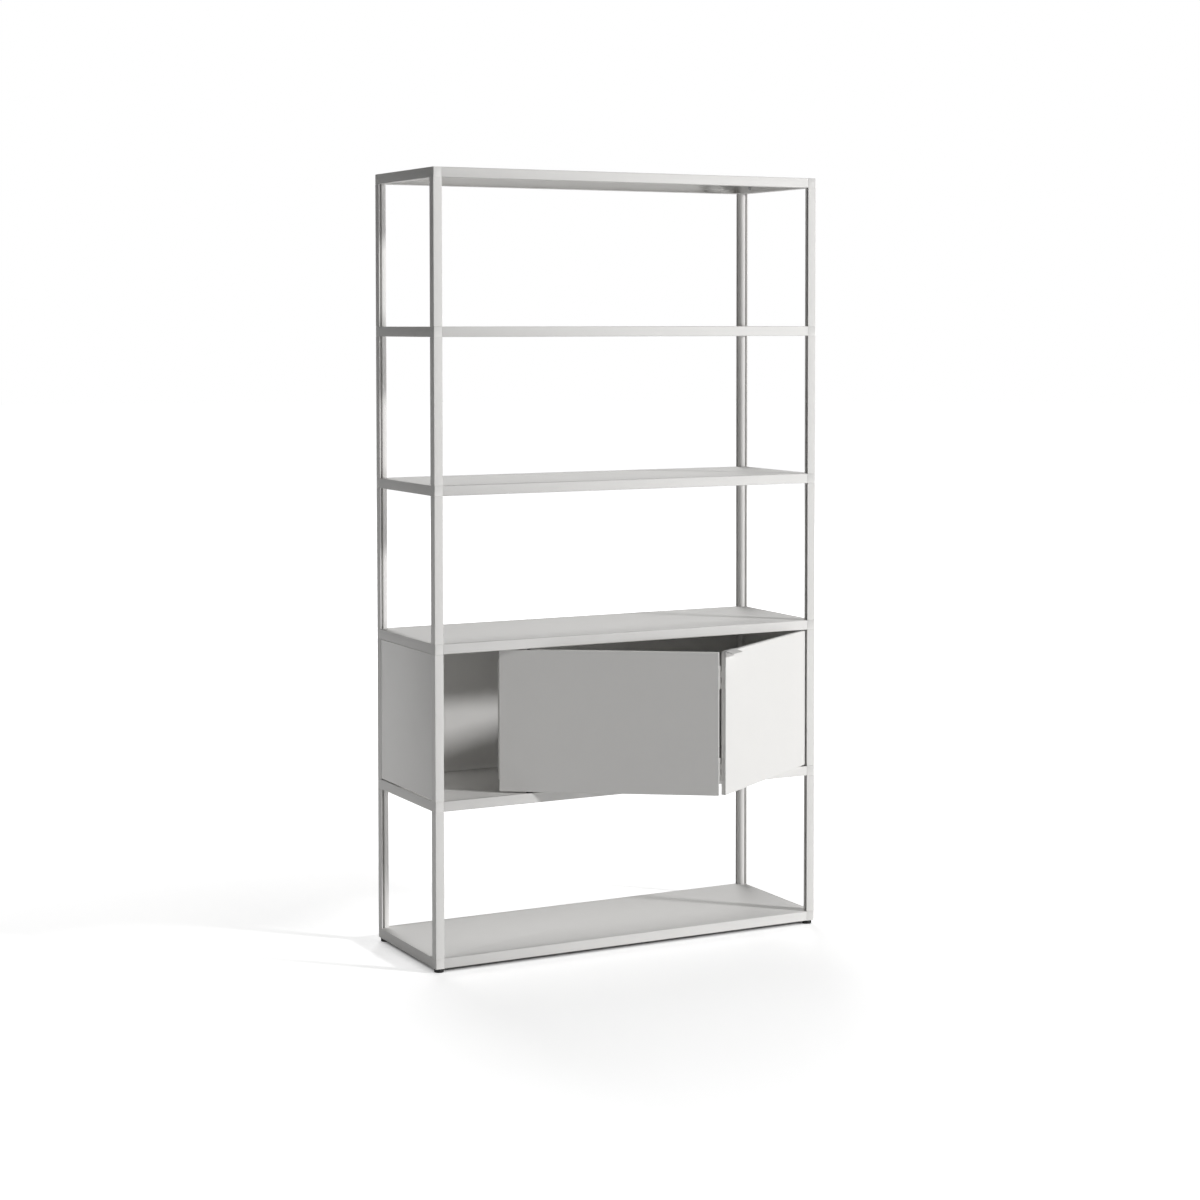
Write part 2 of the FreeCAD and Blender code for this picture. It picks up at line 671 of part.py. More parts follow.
def all_pieces():
    pieces = {}
    for tier in range(TIER_COUNT):
        pieces["shelf_tray_%d" % (tier + 1)] = shelf_tray(tier)
        pieces["side_rail_left_%d" % (tier + 1)] = side_rail(-1, tier)
        pieces["side_rail_right_%d" % (tier + 1)] = side_rail(1, tier)
    for bay in range(TIER_COUNT - 1):
        for name, side_x, side_y in CORNERS:
            pieces["post_%s_%d" % (name, bay + 1)] = post(side_x, side_y, bay)
    for name, side_x, side_y in CORNERS:
        pieces["foot_" + name] = foot(side_x, side_y)
    pieces["post_spigots"] = post_spigots()
    pieces["tray_screws"] = tray_screws()
    pieces["foot_inserts"] = foot_inserts()
    pieces["side_panel_left"] = side_panel(-1)
    pieces["side_panel_right"] = side_panel(1)
    pieces["back_panel"] = back_panel()
    pieces["door_leaf_right"] = door_leaf_right()
    pieces["door_leaf_left"] = door_leaf_left()
    pieces["door_pivot_pins"] = door_pivot_pins()
    pieces["pivot_bushes"] = pivot_bushes()
    pieces["door_guides"] = door_guides()
    pieces["door_track"] = door_track()
    pieces["fold_hinge_right"] = fold_hinge_right()
    pieces["fold_hinge_left"] = fold_hinge_left()
    pieces["fold_hinge_pins"] = fold_hinge_pins()
    pieces["pull_tab"] = pull_tab()
    return pieces


os.makedirs("parts", exist_ok=True)
for node, shape in all_pieces().items():
    shape.exportStep("parts/%s.step" % node)
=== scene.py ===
import json
import math

import bmesh
import bpy
from mathutils import Matrix, Vector


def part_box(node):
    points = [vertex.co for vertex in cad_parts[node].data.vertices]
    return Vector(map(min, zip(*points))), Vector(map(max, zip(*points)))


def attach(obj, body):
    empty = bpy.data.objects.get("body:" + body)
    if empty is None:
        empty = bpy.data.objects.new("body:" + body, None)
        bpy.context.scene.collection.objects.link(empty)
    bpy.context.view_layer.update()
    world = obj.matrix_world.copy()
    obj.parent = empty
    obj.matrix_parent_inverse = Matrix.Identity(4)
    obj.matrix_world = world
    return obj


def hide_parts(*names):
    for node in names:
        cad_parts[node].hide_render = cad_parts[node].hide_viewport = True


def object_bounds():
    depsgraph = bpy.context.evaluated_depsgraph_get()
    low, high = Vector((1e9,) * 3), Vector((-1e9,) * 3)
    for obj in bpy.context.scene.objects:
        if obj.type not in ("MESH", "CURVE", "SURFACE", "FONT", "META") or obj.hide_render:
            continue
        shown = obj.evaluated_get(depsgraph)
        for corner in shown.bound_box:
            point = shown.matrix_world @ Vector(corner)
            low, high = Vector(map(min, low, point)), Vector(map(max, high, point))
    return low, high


bl_info = {
    "name": "Shelving Unit Dressing",
    "version": (1, 0, 0),
    "blender": (4, 5, 0),
    "location": "View3D > Sidebar > Shelving",
    "description": "Coated trays, posts and door leaves, hardware and studio for a metal shelving unit",
    "category": "Object",
}

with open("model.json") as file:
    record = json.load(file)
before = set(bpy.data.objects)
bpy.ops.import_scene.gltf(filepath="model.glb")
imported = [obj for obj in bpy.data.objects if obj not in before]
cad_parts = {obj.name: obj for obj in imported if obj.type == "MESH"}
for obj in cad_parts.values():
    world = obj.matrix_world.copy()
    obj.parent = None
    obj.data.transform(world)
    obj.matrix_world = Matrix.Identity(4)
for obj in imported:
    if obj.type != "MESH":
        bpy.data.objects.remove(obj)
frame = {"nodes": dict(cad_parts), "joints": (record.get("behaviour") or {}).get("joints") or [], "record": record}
CAD_BOX = [list(corner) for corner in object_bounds()]

MM = 0.001
CORNERS = ["front_left", "front_right", "back_left", "back_right"]
TIERS = range(1, 7)
BAYS = range(1, 6)
TRAYS = ["shelf_tray_%d" % tier for tier in TIERS]
RAILS = ["side_rail_%s_%d" % (side, tier) for tier in TIERS for side in ("left", "right")]
POSTS = ["post_%s_%d" % (corner, bay) for bay in BAYS for corner in CORNERS]
PANELS = ["side_panel_left", "side_panel_right", "back_panel"]

JOINTS = {joint["name"]: joint for joint in frame["joints"]}
BODIES = frame["record"]["behaviour"]["bodies"]
BODY_OF = {node: body for body, nodes in BODIES.items() for node in nodes}
SLOT_OF = {part["node"]: part["material_slot"] for part in frame["record"]["subparts"]}

# Edges turned by more than SHARP are rounded: CAD arcs turn less than this from face to face.
# Faces that turn by less than FLAT are made one. Edges turned by more than CREASE stay crisp.
SHARP = math.radians(28)
FLAT = math.radians(0.5)
CREASE = math.radians(35)
SAME_POINT = 1e-6

# Sides of turned pieces
FLANGE_SIDES = 24
SHANK_SIDES = 12
PIN_SIDES = 24
KNUCKLE_SIDES = 32
SIDES_PER_RIB = 3

# Steps that round a corner of a post's section, the rim of a leaf and any other edge
CORNER_STEPS = 8
RIM_STEPS = 6
EDGE_STEPS = 2

# Part of a screw head's height that is straight, and the flange's upper radius over its lower one
HEAD_STRAIGHT = 0.75
FLANGE_TAPER = 0.96

# Most of a noise's values lie between these
NOISE_LOW = 0.3
NOISE_HIGH = 0.7

# Studio: the floor's radius and the end of the camera's view are in metres
WHITE = (1, 1, 1, 1)
PAPER = (0.9, 0.9, 0.9, 1)
FLOOR_RADIUS = 40
FLOOR_SIDES = 96
VIEW_END = 200
SENSOR_MM = 36


def linear(hex_colour):
    """sRGB hex value as linear red, green and blue."""
    channels = [int(hex_colour[i:i + 2], 16) / 255 for i in (1, 3, 5)]
    return [c / 12.92 if c <= 0.04045 else ((c + 0.055) / 1.055) ** 2.4 for c in channels]


def length(label, text, default_mm):
    return bpy.props.FloatProperty(
        name=label, description=text, default=default_mm * MM, min=0, precision=5, unit="LENGTH")


def share(label, text, default, highest=1.0):
    return bpy.props.FloatProperty(
        name=label, description=text, default=default, min=0, max=highest, subtype="FACTOR")


def power(label, text, watts):
    return bpy.props.FloatProperty(
        name=label, description=text, default=watts, min=0, max=5000, subtype="POWER")


def count(label, text, default, lowest, highest):
    return bpy.props.IntProperty(
        name=label, description=text, default=default, min=lowest, max=highest)


def lens_shift(label, text, default):
    return bpy.props.FloatProperty(name=label, description=text, default=default, precision=5)


def colour(label, text, hex_colour):
    return bpy.props.FloatVectorProperty(
        name=label, description=text, default=linear(hex_colour), size=3, min=0, max=1, subtype="COLOR")


def turn(label, text, degrees):
    return bpy.props.FloatProperty(
        name=label, description=text, default=math.radians(degrees), subtype="ANGLE")


class ShelvingEdges(bpy.types.PropertyGroup):
    """Rounding that the coat leaves on edges, and the seams between pieces."""
    sheet: length("Sheet edge", "Radius on the cut and folded edges of sheet metal", 0.35)
    leaf_rim: length("Leaf rim", "Radius of the folds round the face of a door leaf", 1.8)
    rail: length("Rail edge", "Radius on the edges of the side rails", 0.45)
    post_outer: length("Post corner", "Radius of a post's outer corner", 1.35)
    post_inner: length("Post inner corner", "Radius of a post's inner corner", 10.0)
    post_lip: length("Post small edge", "Radius on a post's groove lips", 0.25)
    small: length("Small part edge", "Radius on the edges of pins, bushes, guides and track", 0.2)
    seam: length("Post end", "How far a post's ends are drawn in, which makes the seams", 0.8)


class ShelvingPosts(bpy.types.PropertyGroup):
    """Section of the grooved posts."""
    lip: length("Groove lip", "Wall between a post's outer face and its groove", 2.6)
    groove: length("Groove width", "Width of a panel groove", 5.0)
    depth: length("Groove depth", "Depth of a panel groove", 9.0)


class ShelvingHardware(bpy.types.PropertyGroup):
    """Sizes of screws, hinges and feet."""
    screw_spacing: length("Screw spacing", "Distance between the two screws at a tray's end", 200)
    screw_seat: length("Screw seat", "Distance of a screw's seat from the rail's inner face", 1.7)
    screw_head: length("Screw head", "Distance across the flats of a screw head", 7.6)
    screw_height: length("Screw head height", "Height of a screw head above its flange", 2.6)
    screw_crown: share("Screw crown", "Width of a head's top over its distance across flats", 0.92)
    screw_flange: length("Screw flange", "Thickness of the flange under a screw head", 0.8)
    flange_width: share("Flange width", "Width of a flange over that of its head", 1.05, 2.0)
    screw_shank: length("Screw shank", "Radius of a screw's shank", 2.4)
    knuckles: count("Knuckles", "Knuckles of one fold hinge, on both leaves together", 4, 2, 12)
    knuckle: length("Knuckle radius", "Outer radius of a hinge knuckle", 1.4)
    plate_stop: length("Hinge plate stop", "Distance of a plate's edge from the fold axis", 4.2)
    hinge_pin: length("Hinge pin radius", "Radius of a hinge pin", 0.8)
    pin_end: length("Hinge pin end", "How far a hinge pin stands out at each end", 0.6)
    hinge_play: length("Hinge pin play", "Gap between a hinge pin and its knuckles", 0.05)
    hinge_edge: length("Hinge edge", "Chamfer on the ends of knuckles and hinge pins", 0.3)
    hinge_length: length("Hinge length", "Height of a fold hinge", 52)
    hinge_inset: length("Hinge inset", "Height of a hinge's middle from the leaf's end", 58)
    hinge_plate: length("Hinge plate", "Thickness of a hinge plate", 0.8)
    hinge_start: length("Hinge plate start", "Distance of a hinge plate from the door's face", 1.5)
    knuckle_gap: length("Knuckle gap", "Gap between two knuckles", 0.5)
    fold_depth: length("Fold axis depth", "Distance of the fold axis from the door's face", 14)
    fold_gap: length("Fold gap", "Gap between the two leaves with the door closed", 3)
    foot_pad: length("Foot pad", "Height of a foot's pad", 8.6)
    foot_edge: length("Foot edge", "Rounding on the edges of a foot", 1.0)
    foot_stem: length("Foot stem", "Radius of a foot's stem", 3.95)
    foot_ribs: count("Foot ribs", "Grip ribs round a foot's pad", 36, 6, 120)
    foot_rib: length("Foot rib depth", "Depth of the grip ribs on a foot", 0.25)
    rib_band: length("Foot rib band", "Width of the pad's rim that the grip ribs shape", 0.1)


class ShelvingFinish(bpy.types.PropertyGroup):
    """Colours and gloss of the finishes."""
    coat: colour("Coat", "Light grey powder coat", "#DCDBD9")
    panel: colour("Panel", "Light grey satin powder coat of the panels", "#E6E5E3")
    steel: colour("Steel", "Zinc-plated steel", "#B9BBBC")
    hinge: colour("Hinge", "Grey coat on the hinges", "#D2D1CF")
    foot: colour("Foot", "Black moulded plastic", "#070707")
    nylon: colour("Nylon", "Black nylon of bushes, guides and track", "#151515")
    sheet_gloss: share("Sheet roughness", "Roughness of the coat on sheet metal", 0.7)
    panel_gloss: share("Panel roughness", "Roughness of the satin coat on panels", 0.5)
    profile_gloss: share("Profile roughness", "Roughness of the coat on posts and rails", 0.68)
    foot_gloss: share("Foot roughness", "Roughness of the feet's plastic", 0.5)
    nylon_gloss: share("Nylon roughness", "Roughness of the nylon", 0.42)
    steel_gloss: share("Steel roughness", "Roughness of the zinc plating", 0.32)


class ShelvingStudio(bpy.types.PropertyGroup):
    """Light and view of the studio."""
    key_azimuth: turn("Key azimuth", "Key direction, measured from the front towards the right", 44)
    key_elevation: turn("Key elevation", "Key height above the horizon", 19)
    key_distance: length("Key distance", "Distance from the unit to the key softbox", 20000)
    key_size: length("Key size", "Side of the key softbox", 1800)
    key_power: power("Key power", "Power of the key softbox", 2820)
    low_azimuth: turn("Low azimuth", "Direction of the low front softbox, measured as the key's", 19)
    low_elevation: turn("Low elevation", "Height of the low softbox above the horizon", -1.5)
    low_distance: length("Low distance", "Distance from the unit to the low softbox", 12000)
    low_size: length("Low size", "Side of the low softbox", 1000)
    low_power: power("Low power", "Power of the low softbox", 345)
    back_azimuth: turn("Back azimuth", "Direction of the softbox behind, measured as the key's", 165)
    back_elevation: turn("Back elevation", "Height of the back softbox above the horizon", 38)
    back_distance: length("Back distance", "Distance from the unit to the back softbox", 12000)
    back_size: length("Back size", "Side of the back softbox", 6000)
    back_power: power("Back power", "Power of the back softbox", 760)
    card_azimuth: turn("Card azimuth", "Direction of the card on the left, measured as the key's", -90)
    card_elevation: turn("Card elevation", "Height of the card above the unit's middle", -18)
    card_distance: length("Card distance", "Distance from the unit's middle to the card", 1500)
    card_size: length("Card size", "Side of the card", 800)
    card_power: power("Card power", "Power of the card", 1.6)
    world: share("World level", "Level of the even light from all round", 0)
    # Glow of the floor that only the camera and glosses see: it is gone under the unit and lowest next to it,
    # which paints shade on the floor there
    floor_glow: share("Floor glow", "Part of the white near the unit that lights nothing", 0.51)
    floor_painted_shade_edge: length("Floor shade edge", "Width inside the footprint's edge that glows less", 12)
    floor_far: length("Floor white start", "Distance from the footprint to the full white", 2800)
    view_place: bpy.props.FloatVectorProperty(
        name="View place", description="Place of the camera", default=(-2.68067, -5.19854, 1.45853),
        size=3, precision=5, subtype="TRANSLATION", unit="LENGTH")
    lens: bpy.props.FloatProperty(
        name="Lens", description="Focal length of the lens", default=73.789, min=1, precision=3,
        subtype="DISTANCE_CAMERA")
    shift_x: lens_shift("Shift X", "Shift of the lens to the right, over the sensor's width", -0.00893)
    shift_y: lens_shift("Shift Y", "Shift of the lens upwards, over the sensor's width", -0.14472)
    yaw: turn("View yaw", "Camera turn about the upright axis", -27.557)
    pitch: turn("View pitch", "Camera tilt, downwards negative", -2.391)
    roll: turn("View roll", "Camera turn about its own axis", -0.042)


def feed(tree, node, inputs):
    """Give inputs a value each, or a link from a socket or from a node's first output."""
    for key, value in inputs.items():
        if isinstance(value, bpy.types.Node):
            value = value.outputs[0]
        if isinstance(value, bpy.types.NodeSocket):
            tree.links.new(value, node.inputs[key])
        else:
            node.inputs[key].default_value = value


def add(tree, kind, inputs=None, **settings):
    """Add a node with its settings, and feed its inputs."""
    node = tree.nodes.new(kind)
    for name, value in settings.items():
        setattr(node, name, value)
    feed(tree, node, inputs or {})
    return node


def new_material(name):
    """Empty node material and its tree."""
    material = bpy.data.materials.new(name)
    material.use_nodes = True
    material.node_tree.nodes.clear()
    return material, material.node_tree


def grain(tree, size_mm, detail=2.0):
    """Noise on Object coordinates whose features are about size_mm across."""
    place = add(tree, "ShaderNodeTexCoord").outputs["Object"]
    scale = 1 / (size_mm * MM)
    noise = add(tree, "ShaderNodeTexNoise", {"Vector": place, "Scale": scale, "Detail": detail})
    return noise.outputs["Fac"]


def wandering(tree, size_mm, middle, swing):
    """Number that wanders by swing about a middle value, in patches about size_mm across."""
    return add(tree, "ShaderNodeMapRange", {
        "Value": grain(tree, size_mm), "From Min": NOISE_LOW, "From Max": NOISE_HIGH,
        "To Min": middle - swing, "To Max": middle + swing})


def mottled(tree, size_mm, tint, swing, detail=2.0):
    """Colour that turns slightly lighter and darker, in patches about size_mm across."""
    dark = [channel * (1 - swing) for channel in tint] + [1]
    light = [min(1, channel * (1 + swing)) for channel in tint] + [1]
    factor = grain(tree, size_mm, detail)
    return add(tree, "ShaderNodeMix", {0: factor, 6: dark, 7: light}, data_type="RGBA").outputs[2]


def powder_coat(name, tint, roughness):
    """Polyester powder coat, sprayed and baked on metal.

    It gives an even, slightly chalky colour, a soft broad highlight and a faint orange peel,
    whose waves are about 1.6 mm long with a finer grain on them. That grain breaks the gloss up
    at shallow angles, so the specular level is below a smooth paint's.
    """
    material, tree = new_material(name)
    relief = add(tree, "ShaderNodeMath", {0: grain(tree, 1.6), 1: grain(tree, 0.7)})
    peel = add(tree, "ShaderNodeBump", {"Height": relief, "Strength": 0.5, "Distance": 0.03 * MM})
    coat = add(tree, "ShaderNodeBsdfPrincipled", {
        "Base Color": mottled(tree, 60, tint, 0.008, 1.0),
        "Roughness": wandering(tree, 25, roughness, 0.03),
        "IOR": 1.5,
        "Specular IOR Level": 0.2,
        "Normal": peel,
    })
    add(tree, "ShaderNodeOutputMaterial", {"Surface": coat})
    return material


def zinc_plate(name, tint, roughness):
    """Bright zinc plating on steel: a clean metal sheen, faintly mottled over about 3 mm."""
    material, tree = new_material(name)
    plating = add(tree, "ShaderNodeBsdfPrincipled", {
        "Base Color": mottled(tree, 3, tint, 0.06),
        "Metallic": 1.0,
        "Roughness": wandering(tree, 1.2, roughness, 0.08),
    })
    add(tree, "ShaderNodeOutputMaterial", {"Surface": plating})
    return material


def moulded_plastic(name, tint, roughness, texture_mm):
    """Injection-moulded black plastic: a dull highlight and a fine spark-eroded grain."""
    material, tree = new_material(name)
    texture = add(tree, "ShaderNodeBump", {
        "Height": grain(tree, texture_mm), "Strength": 0.6, "Distance": 0.02 * MM})
    plastic = add(tree, "ShaderNodeBsdfPrincipled", {
        "Base Color": mottled(tree, texture_mm, tint, 0.15),
        "Roughness": wandering(tree, texture_mm, roughness, 0.06),
        "IOR": 1.53,
        "Specular IOR Level": 0.25,
        "Normal": texture,
    })
    add(tree, "ShaderNodeOutputMaterial", {"Surface": plastic})
    return material


def make_finishes(finish):
    """The record's material slots, each with its finish."""
    return {
        "coated_sheet": powder_coat("powder_coated_steel_sheet", finish.coat, finish.sheet_gloss),
        "coated_panel": powder_coat("satin_powder_coated_panel", finish.panel, finish.panel_gloss),
        "coated_profile": powder_coat(
            "powder_coated_aluminium_profile", finish.coat, finish.profile_gloss),
        "foot_plastic": moulded_plastic(
            "moulded_black_polypropylene", finish.foot, finish.foot_gloss, 0.8),
        "black_nylon": moulded_plastic("moulded_black_nylon", finish.nylon, finish.nylon_gloss, 0.5),
        "bright_steel": zinc_plate("zinc_plated_steel", finish.steel, finish.steel_gloss),
        "hinge_steel": powder_coat("powder_coated_hinge_steel", finish.hinge, finish.sheet_gloss),
    }


def finish_of(slot):
    return bpy.data.materials[bpy.context.scene["finish_" + slot]]


def link(name, data):
    made = bpy.data.objects.new(name, data)
    bpy.context.scene.collection.objects.link(made)
    return made


def plain_mesh(live, name):
    """Turn an object with modifiers into a plain mesh object, and remove the live one."""
    evaluated = live.evaluated_get(bpy.context.evaluated_depsgraph_get())
    made = link(name, bpy.data.meshes.new_from_object(evaluated))
    bpy.data.objects.remove(live)
    return made


def dress(piece, nodes):
    """Let a finished piece stand for its CAD nodes, on their body and with their finish."""
    slot = SLOT_OF[nodes[0]]
    piece.data.materials.clear()
    piece.data.materials.append(finish_of(slot))
    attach(piece, BODY_OF[nodes[0]])
    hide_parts(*nodes)


def coat_node(node):
    """Give a CAD node that is shown as it is its finish."""
    for holder in frame["nodes"][node].material_slots:
        holder.material = finish_of(SLOT_OF[node])


def merged_copy(node):
    """Mesh of a CAD node with its loose triangles joined and its flat faces made whole."""
    work = bmesh.new()
    work.from_mesh(frame["nodes"][node].data)
    bmesh.ops.remove_doubles(work, verts=work.verts, dist=SAME_POINT)
    bmesh.ops.dissolve_limit(work, angle_limit=FLAT, verts=work.verts, edges=work.edges)
    mesh = bpy.data.meshes.new(node + "_edges")
    work.to_mesh(mesh)
    work.free()
    return mesh


def round_rim(live, radius):
    """Round the edges about the widest face, where the sheet is folded back."""
    mesh = live.data
    widest = max(mesh.polygons, key=lambda face: face.area)
    rim = set(widest.edge_keys)
    weights = mesh.attributes.new("bevel_weight_edge", "FLOAT", "EDGE")
    for edge in mesh.edges:
        weights.data[edge.index].value = float(edge.key in rim)
    fold = live.modifiers.new("sheet fold", "BEVEL")
    fold.limit_method = "WEIGHT"
    fold.width = radius
    fold.segments = RIM_STEPS
    fold.harden_normals = True


def round_edges(node, radius, rim=0.0):
    """Replace a CAD node by a copy whose sharp edges are rounded, as under a baked coat."""
    mesh = merged_copy(node)
    mesh.shade_smooth()
    live = link(node + "_live", mesh)
    if rim:
        round_rim(live, rim)
    bevel = live.modifiers.new("coat edge", "BEVEL")
    bevel.limit_method = "ANGLE"
    bevel.angle_limit = SHARP
    bevel.width = radius
    bevel.segments = EDGE_STEPS
    bevel.use_clamp_overlap = True
    bevel.harden_normals = True
    dress(plain_mesh(live, node + "_coated"), [node])


def lathe(outline, middle, sides):
    """Turned solid from (radius, height) pairs: axis to axis, or all round the wall of a tube."""
    work = bmesh.new()
    rows = []
    for radius, height in outline:
        if radius == 0:
            rows.append([work.verts.new((middle.x, middle.y, height))])
            continue
        angles = [2 * math.pi * i / sides for i in range(sides)]
        rows.append([
            work.verts.new((middle.x + radius * math.cos(a), middle.y + radius * math.sin(a), height))
            for a in angles
        ])
    closed = outline[0][0] != 0
    pairs = list(zip(rows, rows[1:])) + ([(rows[-1], rows[0])] if closed else [])
    for low, high in pairs:
        for i in range(sides):
            j = (i + 1) % sides
            corners = [low[i % len(low)], low[j % len(low)], high[j % len(high)], high[i % len(high)]]
            work.faces.new([v for k, v in enumerate(corners) if v not in corners[:k]])
    bmesh.ops.recalc_face_normals(work, faces=work.faces)
    return work


def mesh_of(work, name):
    """Smooth-shaded mesh from a bmesh, with its sharp edges kept."""
    mesh = bpy.data.meshes.new(name)
    work.to_mesh(mesh)
    work.free()
    mesh.shade_smooth()
    mesh.set_sharp_from_angle(angle=CREASE)
    return mesh


def door_places():
    """Fold axis of the closed door, and the move of each leaf from the closed door to rest."""
    hinge = JOINTS["right_leaf_hinge"]
    pivot = Vector(hinge["pos_m"])
    opened = -math.radians(hinge["range_deg"][0])
    fold_at_rest = Vector(JOINTS["fold_hinge"]["pos_m"])
    fold = Matrix.Rotation(-opened, 3, "Z") @ (fold_at_rest - pivot) + pivot
    swing = Matrix.Translation(pivot) @ Matrix.Rotation(opened, 4, "Z") @ Matrix.Translation(-pivot)
    bend = Matrix.Translation(fold) @ Matrix.Rotation(-2 * opened, 4, "Z") @ Matrix.Translation(-fold)
    return fold, {"right": swing, "left": swing @ bend}


class SHELVING_OT_finishes(bpy.types.Operator):
    """Make the coats, platings and plastics"""
    bl_idname = "shelving.finishes"
    bl_label = "Finishes"

    def execute(self, context):
        for slot, material in make_finishes(context.scene.shelving_finish).items():
            context.scene["finish_" + slot] = material.name
        return {"FINISHED"}


def post_section(edges, posts, size):
    """Curve object with the outline of a front left post, and a radius for each corner."""
    far = posts.lip + posts.groove
    floor = size - posts.depth
    small = edges.post_lip
    half = [
        (size, 0, small),
        (size, posts.lip, small),
        (floor, posts.lip, 0),
        (floor, far, 0),
        (size, far, small),
    ]
    corners = [(0, 0, edges.post_outer)] + half + [(size, size, edges.post_inner)]
    corners += [(v, u, radius) for u, v, radius in reversed(half)]
    curve = bpy.data.curves.new("post_section", "CURVE")
    curve.dimensions = "3D"
    spline = curve.splines.new("POLY")
    spline.points.add(len(corners) - 1)
    for point, (u, v, radius) in zip(spline.points, corners):
        point.co = (u - size / 2, v - size / 2, 0, 1)
        point.radius = radius
    spline.use_cyclic_u = True
    return link("post_section", curve)


def start_tree(name, sizes, number):
    """Geometry Nodes tree and its inputs: geometry, the named sizes, a whole number and a finish."""
    tree = bpy.data.node_groups.new(name, "GeometryNodeTree")
    sockets = [("Geometry", "INPUT", "Geometry")]
    sockets += [(size, "INPUT", "Float") for size in sizes]
    sockets += [(number, "INPUT", "Int"), ("Finish", "INPUT", "Material")]
    sockets += [("Geometry", "OUTPUT", "Geometry")]
    for label, way, kind in sockets:
        tree.interface.new_socket(label, in_out=way, socket_type="NodeSocket" + kind)
    return tree, add(tree, "NodeGroupInput").outputs


def set_on_points(tree, points, piece, facing, finish):
    """End a tree with the piece on every point, turned, made real and with its finish."""
    placed = add(tree, "GeometryNodeInstanceOnPoints", {
        "Points": points, "Instance": piece, "Rotation": facing})
    whole = add(tree, "GeometryNodeRealizeInstances", {"Geometry": placed})
    coated = add(tree, "GeometryNodeSetMaterial", {"Geometry": whole, "Material": finish})
    add(tree, "NodeGroupOutput", {0: coated})


def post_tree():
    """Geometry Nodes that round the section, run it up a bay and set it at every corner and bay."""
    tree, given = start_tree(
        "grooved_posts", ("Width", "Depth", "Post", "First Height", "Pitch", "Height", "Seam"), "Bays")
    profile = add(tree, "GeometryNodeFilletCurve", {
        "Curve": given["Geometry"], "Count": CORNER_STEPS, "Limit Radius": True,
        "Radius": add(tree, "GeometryNodeInputRadius")}, mode="POLY")

    shoulder = add(tree, "ShaderNodeMath", {0: given["Height"], 1: given["Seam"]}, operation="SUBTRACT")
    both_seams = add(tree, "ShaderNodeMath", {0: given["Seam"], 1: 2.0}, operation="MULTIPLY")
    lost = add(tree, "ShaderNodeMath", {0: both_seams, 1: given["Post"]}, operation="DIVIDE")
    drawn_in = add(tree, "ShaderNodeMath", {0: 1.0, 1: lost}, operation="SUBTRACT")
    point = add(tree, "GeometryNodeInputIndex")
    rows = []
    for values in ((0.0, given["Seam"], shoulder, given["Height"]), (drawn_in, 1.0, 1.0, drawn_in)):
        row = add(tree, "GeometryNodeIndexSwitch", data_type="FLOAT")
        for _ in values[2:]:
            row.index_switch_items.new()
        feed(tree, row, dict(enumerate((point,) + values)))
        rows.append(row)
    heights, scales = rows
    spine = add(tree, "GeometryNodeSetPosition", {
        "Geometry": add(tree, "GeometryNodeMeshLine", {"Count": 4}),
        "Position": add(tree, "ShaderNodeCombineXYZ", {"Z": heights})})
    bar = add(tree, "GeometryNodeCurveToMesh", {
        "Curve": add(tree, "GeometryNodeMeshToCurve", {"Mesh": spine}), "Profile Curve": profile,
        "Scale": scales, "Fill Caps": True})

    across = add(tree, "ShaderNodeMath", {0: given["Width"], 1: given["Post"]}, operation="SUBTRACT")
    inwards = add(tree, "ShaderNodeMath", {0: given["Depth"], 1: given["Post"]}, operation="SUBTRACT")
    corners = add(tree, "GeometryNodeMeshGrid", {
        "Size X": across, "Size Y": inwards, "Vertices X": 2, "Vertices Y": 2})
    stack = add(tree, "GeometryNodeMeshLine", {
        "Count": given["Bays"],
        "Start Location": add(tree, "ShaderNodeCombineXYZ", {"Z": given["First Height"]}),
        "Offset": add(tree, "ShaderNodeCombineXYZ", {"Z": given["Pitch"]})})
    places = add(tree, "GeometryNodeInstanceOnPoints", {"Points": stack, "Instance": corners})
    places = add(tree, "GeometryNodeRealizeInstances", {"Geometry": places})

    spot = add(tree, "ShaderNodeSeparateXYZ", {0: add(tree, "GeometryNodeInputPosition")}).outputs
    side_x = add(tree, "ShaderNodeMath", {0: spot["X"]}, operation="SIGN")
    side_y = add(tree, "ShaderNodeMath", {0: spot["Y"]}, operation="SIGN")
    outward = add(tree, "ShaderNodeMath", {0: side_y, 1: side_x}, operation="ARCTAN2")
    about = add(tree, "ShaderNodeMath", {0: outward, 1: 0.75 * math.pi})
    facing = add(tree, "ShaderNodeCombineXYZ", {"Z": about})
    set_on_points(tree, places, bar, facing, given["Finish"])
    return tree


def grow(base, tree, values, name):
    """Run a Geometry Nodes tree with named inputs on an object, and keep the result as a mesh."""
    modifier = base.modifiers.new(tree.name, "NODES")
    modifier.node_group = tree
    for socket in tree.interface.items_tree:
        if socket.in_out == "INPUT" and socket.name in values:
            modifier[socket.identifier] = values[socket.name]
    grown = plain_mesh(base, name)
    grown.data.shade_smooth()
    grown.data.set_sharp_from_angle(angle=CREASE)
    return grown


class SHELVING_OT_posts(bpy.types.Operator):
    """Run the grooved profile up every corner of every bay"""
    bl_idname = "shelving.posts"
    bl_label = "Posts"

    def execute(self, context):
        edges = context.scene.shelving_edges
        low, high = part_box("post_front_left_1")
        above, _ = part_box("post_front_left_2")
        _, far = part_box("post_back_right_1")
        size = high.x - low.x
        values = {
            "Width": far.x - low.x,
            "Depth": far.y - low.y,
            "Post": size,
            "First Height": low.z,
            "Pitch": above.z - low.z,
            "Height": high.z - low.z,
            "Seam": edges.seam,
            "Bays": len(BAYS),
            "Finish": finish_of("coated_profile"),
        }
        section = post_section(edges, context.scene.shelving_posts, size)
        dress(grow(section, post_tree(), values, "grooved_posts"), POSTS)
        return {"FINISHED"}


